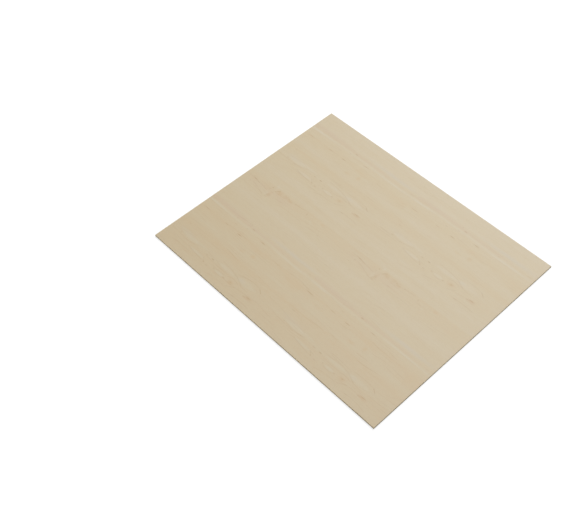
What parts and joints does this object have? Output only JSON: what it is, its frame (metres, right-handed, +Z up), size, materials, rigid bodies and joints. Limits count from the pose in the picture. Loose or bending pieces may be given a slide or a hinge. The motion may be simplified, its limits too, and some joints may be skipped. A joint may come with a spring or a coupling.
{
  "type": "plywood sheet",
  "caption": "Thin flat rectangular plywood sheet with pale sanded veneer faces, square corners and sawn edges.",
  "frame": {"origin": "centre of the underside, at floor level", "axes": "+X along the face grain and the long side, +Y across the grain, +Z up, out of the upper face"},
  "size_m": [0.3048, 0.254, 0.002],
  "materials": {
    "plywood": "matte"
  },
  "bodies": {
    "root": {"plywood_sheet": "plywood"}
  },
  "joints": []
}
